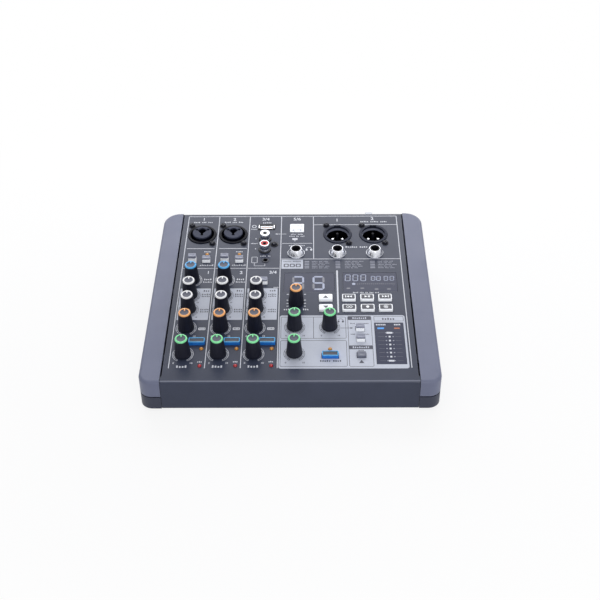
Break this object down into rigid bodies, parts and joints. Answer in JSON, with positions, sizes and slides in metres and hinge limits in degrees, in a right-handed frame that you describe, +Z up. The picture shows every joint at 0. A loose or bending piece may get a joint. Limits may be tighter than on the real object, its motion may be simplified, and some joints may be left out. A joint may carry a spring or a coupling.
{
  "type": "mixing console",
  "caption": "Small desktop audio mixer with a sloped panel, rotary knobs, push buttons, input and output sockets, a level meter and two displays between grey end cheeks.",
  "frame": {"origin": "middle of the footprint, on the surface that the feet stand on", "axes": "+Z up, +Y to the back of the console, +X to the right as seen by the person using it"},
  "size_m": [0.2256, 0.21, 0.0575],
  "materials": {
    "panel_paint": "satin powder coat",
    "cheek_plastic": "fine texture",
    "base_plastic": "fine texture",
    "pan_steel": "satin",
    "knob_black": "satin",
    "ring_white": "gloss",
    "ring_blue": "gloss",
    "ring_green": "gloss",
    "ring_orange": "gloss",
    "cap_grey": "satin",
    "cap_white": "satin",
    "button_blue": "satin",
    "connector_black": "satin",
    "chrome": "polished",
    "screw_black": "blackened",
    "window": "smoked pane",
    "lamp_amber": "tinted lens",
    "lamp_red": "tinted lens",
    "lamp_blue": "lit lens",
    "print_white": "screen print",
    "board_green": "solder mask",
    "rubber_black": "matt"
  },
  "bodies": {
    "console": {"top_cover": "panel_paint", "base_pan": "pan_steel", "left_cheek": "cheek_plastic", "right_cheek": "cheek_plastic", "cheek_bases": "base_plastic", "combo_jacks": "connector_black", "xlr_outputs": "connector_black", "quarter_inch_jacks": "chrome", "rca_jacks": "chrome", "usb_ports": "chrome", "mini_jack": "connector_black", "effects_display": "window", "player_display": "window", "level_meter": "window", "indicator_leds": "lamp_amber", "main_board": "board_green", "potentiometers": "pan_steel", "switch_bodies": "connector_black", "screws": "screw_black", "feet": "rubber_black", "dc_inlet": "connector_black"},
    "trim_knob_1": {"trim_knob_1": "knob_black"},
    "high_knob_1": {"high_knob_1": "knob_black"},
    "low_knob_1": {"low_knob_1": "knob_black"},
    "effect_knob_1": {"effect_knob_1": "knob_black"},
    "level_knob_1": {"level_knob_1": "knob_black"},
    "trim_knob_2": {"trim_knob_2": "knob_black"},
    "high_knob_2": {"high_knob_2": "knob_black"},
    "low_knob_2": {"low_knob_2": "knob_black"},
    "effect_knob_2": {"effect_knob_2": "knob_black"},
    "level_knob_2": {"level_knob_2": "knob_black"},
    "high_knob_3": {"high_knob_3": "knob_black"},
    "low_knob_3": {"low_knob_3": "knob_black"},
    "effect_knob_3": {"effect_knob_3": "knob_black"},
    "level_knob_3": {"level_knob_3": "knob_black"},
    "parameter_knob": {"parameter_knob": "knob_black"},
    "return_knob": {"return_knob": "knob_black"},
    "phones_knob": {"phones_knob": "knob_black"},
    "main_knob": {"main_knob": "knob_black"},
    "pad_switch_1": {"pad_switch_1": "cap_grey"},
    "pad_switch_2": {"pad_switch_2": "cap_grey"},
    "phantom_switch_1": {"phantom_switch_1": "cap_grey"},
    "phantom_switch_2": {"phantom_switch_2": "cap_grey"},
    "mono_switch": {"mono_switch": "cap_grey"},
    "mute_button_1": {"mute_button_1": "button_blue"},
    "mute_button_2": {"mute_button_2": "button_blue"},
    "mute_button_3": {"mute_button_3": "button_blue"},
    "main_mute_button": {"main_mute_button": "button_blue"},
    "up_button": {"up_button": "cap_white"},
    "down_button": {"down_button": "cap_white"},
    "listen_switch": {"listen_switch": "cap_grey"},
    "route_switch": {"route_switch": "cap_grey"},
    "supply_switch": {"supply_switch": "cap_grey"},
    "repeat_key": {"repeat_key": "cap_white"},
    "record_key": {"record_key": "cap_white"},
    "link_key": {"link_key": "cap_white"},
    "back_key": {"back_key": "cap_white"},
    "play_key": {"play_key": "cap_white"},
    "next_key": {"next_key": "cap_white"},
    "power_button": {"power_button": "cap_grey"}
  },
  "joints": [
    {"name": "trim_1_turn", "type": "hinge", "parent": "console", "child": "trim_knob_1", "pos_m": [-0.0815, 0.00843, 0.03976], "axis": [0, -0.1045, 0.9945], "range_deg": [-150, 150]},
    {"name": "high_1_turn", "type": "hinge", "parent": "console", "child": "high_knob_1", "pos_m": [-0.0815, -0.01027, 0.0378], "axis": [0, -0.1045, 0.9945], "range_deg": [-150, 150]},
    {"name": "low_1_turn", "type": "hinge", "parent": "console", "child": "low_knob_1", "pos_m": [-0.0815, -0.02708, 0.03603], "axis": [0, -0.1045, 0.9945], "range_deg": [-150, 150]},
    {"name": "effect_1_turn", "type": "hinge", "parent": "console", "child": "effect_knob_1", "pos_m": [-0.0815, -0.04727, 0.03391], "axis": [0, -0.1045, 0.9945], "range_deg": [-150, 150]},
    {"name": "level_1_turn", "type": "hinge", "parent": "console", "child": "level_knob_1", "pos_m": [-0.0815, -0.07561, 0.03093], "axis": [0, -0.1045, 0.9945], "range_deg": [-150, 150]},
    {"name": "trim_2_turn", "type": "hinge", "parent": "console", "child": "trim_knob_2", "pos_m": [-0.0547, 0.00843, 0.03976], "axis": [0, -0.1045, 0.9945], "range_deg": [-150, 150]},
    {"name": "high_2_turn", "type": "hinge", "parent": "console", "child": "high_knob_2", "pos_m": [-0.0547, -0.01027, 0.0378], "axis": [0, -0.1045, 0.9945], "range_deg": [-150, 150]},
    {"name": "low_2_turn", "type": "hinge", "parent": "console", "child": "low_knob_2", "pos_m": [-0.0547, -0.02708, 0.03603], "axis": [0, -0.1045, 0.9945], "range_deg": [-150, 150]},
    {"name": "effect_2_turn", "type": "hinge", "parent": "console", "child": "effect_knob_2", "pos_m": [-0.0547, -0.04727, 0.03391], "axis": [0, -0.1045, 0.9945], "range_deg": [-150, 150]},
    {"name": "level_2_turn", "type": "hinge", "parent": "console", "child": "level_knob_2", "pos_m": [-0.0547, -0.07561, 0.03093], "axis": [0, -0.1045, 0.9945], "range_deg": [-150, 150]},
    {"name": "high_3_turn", "type": "hinge", "parent": "console", "child": "high_knob_3", "pos_m": [-0.0279, -0.01027, 0.0378], "axis": [0, -0.1045, 0.9945], "range_deg": [-150, 150]},
    {"name": "low_3_turn", "type": "hinge", "parent": "console", "child": "low_knob_3", "pos_m": [-0.0279, -0.02708, 0.03603], "axis": [0, -0.1045, 0.9945], "range_deg": [-150, 150]},
    {"name": "effect_3_turn", "type": "hinge", "parent": "console", "child": "effect_knob_3", "pos_m": [-0.0279, -0.04727, 0.03391], "axis": [0, -0.1045, 0.9945], "range_deg": [-150, 150]},
    {"name": "level_3_turn", "type": "hinge", "parent": "console", "child": "level_knob_3", "pos_m": [-0.0279, -0.07561, 0.03093], "axis": [0, -0.1045, 0.9945], "range_deg": [-150, 150]},
    {"name": "parameter_turn", "type": "hinge", "parent": "console", "child": "parameter_knob", "pos_m": [0.004, -0.01922, 0.03686], "axis": [0, -0.1045, 0.9945], "range_deg": [-150, 150]},
    {"name": "return_turn", "type": "hinge", "parent": "console", "child": "return_knob", "pos_m": [0.003, -0.04677, 0.03396], "axis": [0, -0.1045, 0.9945], "range_deg": [-150, 150]},
    {"name": "phones_turn", "type": "hinge", "parent": "console", "child": "phones_knob", "pos_m": [0.0302, -0.04677, 0.03396], "axis": [0, -0.1045, 0.9945], "range_deg": [-150, 150]},
    {"name": "main_turn", "type": "hinge", "parent": "console", "child": "main_knob", "pos_m": [0.003, -0.07531, 0.03096], "axis": [0, -0.1045, 0.9945], "range_deg": [-150, 150]},
    {"name": "pad_switch_1_press", "type": "slide", "parent": "console", "child": "pad_switch_1", "axis": [0, 0.1045, -0.9945], "range_m": [0, 0.0022], "stiffness_N_per_m": 60, "springref_m": -0.0005},
    {"name": "pad_switch_2_press", "type": "slide", "parent": "console", "child": "pad_switch_2", "axis": [0, 0.1045, -0.9945], "range_m": [0, 0.0022], "stiffness_N_per_m": 60, "springref_m": -0.0005},
    {"name": "phantom_switch_1_press", "type": "slide", "parent": "console", "child": "phantom_switch_1", "axis": [0, 0.1045, -0.9945], "range_m": [-0.0022, 0]},
    {"name": "phantom_switch_2_press", "type": "slide", "parent": "console", "child": "phantom_switch_2", "axis": [0, 0.1045, -0.9945], "range_m": [-0.0022, 0]},
    {"name": "mono_switch_press", "type": "slide", "parent": "console", "child": "mono_switch", "axis": [0, 0.1045, -0.9945], "range_m": [0, 0.0022], "stiffness_N_per_m": 60, "springref_m": -0.0005},
    {"name": "mute_button_1_press", "type": "slide", "parent": "console", "child": "mute_button_1", "axis": [0, 0.1045, -0.9945], "range_m": [0, 0.0015], "stiffness_N_per_m": 60, "springref_m": -0.0005},
    {"name": "mute_button_2_press", "type": "slide", "parent": "console", "child": "mute_button_2", "axis": [0, 0.1045, -0.9945], "range_m": [0, 0.0015], "stiffness_N_per_m": 60, "springref_m": -0.0005},
    {"name": "mute_button_3_press", "type": "slide", "parent": "console", "child": "mute_button_3", "axis": [0, 0.1045, -0.9945], "range_m": [0, 0.0015], "stiffness_N_per_m": 60, "springref_m": -0.0005},
    {"name": "main_mute_button_press", "type": "slide", "parent": "console", "child": "main_mute_button", "axis": [0, 0.1045, -0.9945], "range_m": [0, 0.0015], "stiffness_N_per_m": 60, "springref_m": -0.0005},
    {"name": "up_button_press", "type": "slide", "parent": "console", "child": "up_button", "axis": [0, 0.1045, -0.9945], "range_m": [0, 0.0006], "stiffness_N_per_m": 60, "springref_m": -0.0005},
    {"name": "down_button_press", "type": "slide", "parent": "console", "child": "down_button", "axis": [0, 0.1045, -0.9945], "range_m": [0, 0.0006], "stiffness_N_per_m": 60, "springref_m": -0.0005},
    {"name": "listen_switch_press", "type": "slide", "parent": "console", "child": "listen_switch", "axis": [0, 0.1045, -0.9945], "range_m": [0, 0.0022], "stiffness_N_per_m": 60, "springref_m": -0.0005},
    {"name": "route_switch_press", "type": "slide", "parent": "console", "child": "route_switch", "axis": [0, 0.1045, -0.9945], "range_m": [0, 0.0022], "stiffness_N_per_m": 60, "springref_m": -0.0005},
    {"name": "supply_switch_press", "type": "slide", "parent": "console", "child": "supply_switch", "axis": [0, 0.1045, -0.9945], "range_m": [-0.0022, 0]},
    {"name": "repeat_key_press", "type": "slide", "parent": "console", "child": "repeat_key", "axis": [0, 0.1045, -0.9945], "range_m": [0, 0.0006], "stiffness_N_per_m": 60, "springref_m": -0.0005},
    {"name": "record_key_press", "type": "slide", "parent": "console", "child": "record_key", "axis": [0, 0.1045, -0.9945], "range_m": [0, 0.0006], "stiffness_N_per_m": 60, "springref_m": -0.0005},
    {"name": "link_key_press", "type": "slide", "parent": "console", "child": "link_key", "axis": [0, 0.1045, -0.9945], "range_m": [0, 0.0006], "stiffness_N_per_m": 60, "springref_m": -0.0005},
    {"name": "back_key_press", "type": "slide", "parent": "console", "child": "back_key", "axis": [0, 0.1045, -0.9945], "range_m": [0, 0.0006], "stiffness_N_per_m": 60, "springref_m": -0.0005},
    {"name": "play_key_press", "type": "slide", "parent": "console", "child": "play_key", "axis": [0, 0.1045, -0.9945], "range_m": [0, 0.0006], "stiffness_N_per_m": 60, "springref_m": -0.0005},
    {"name": "next_key_press", "type": "slide", "parent": "console", "child": "next_key", "axis": [0, 0.1045, -0.9945], "range_m": [0, 0.0006], "stiffness_N_per_m": 60, "springref_m": -0.0005},
    {"name": "power_button_press", "type": "slide", "parent": "console", "child": "power_button", "axis": [0, -1, 0], "range_m": [0, 0.0025], "stiffness_N_per_m": 60, "springref_m": -0.0005}
  ]
}
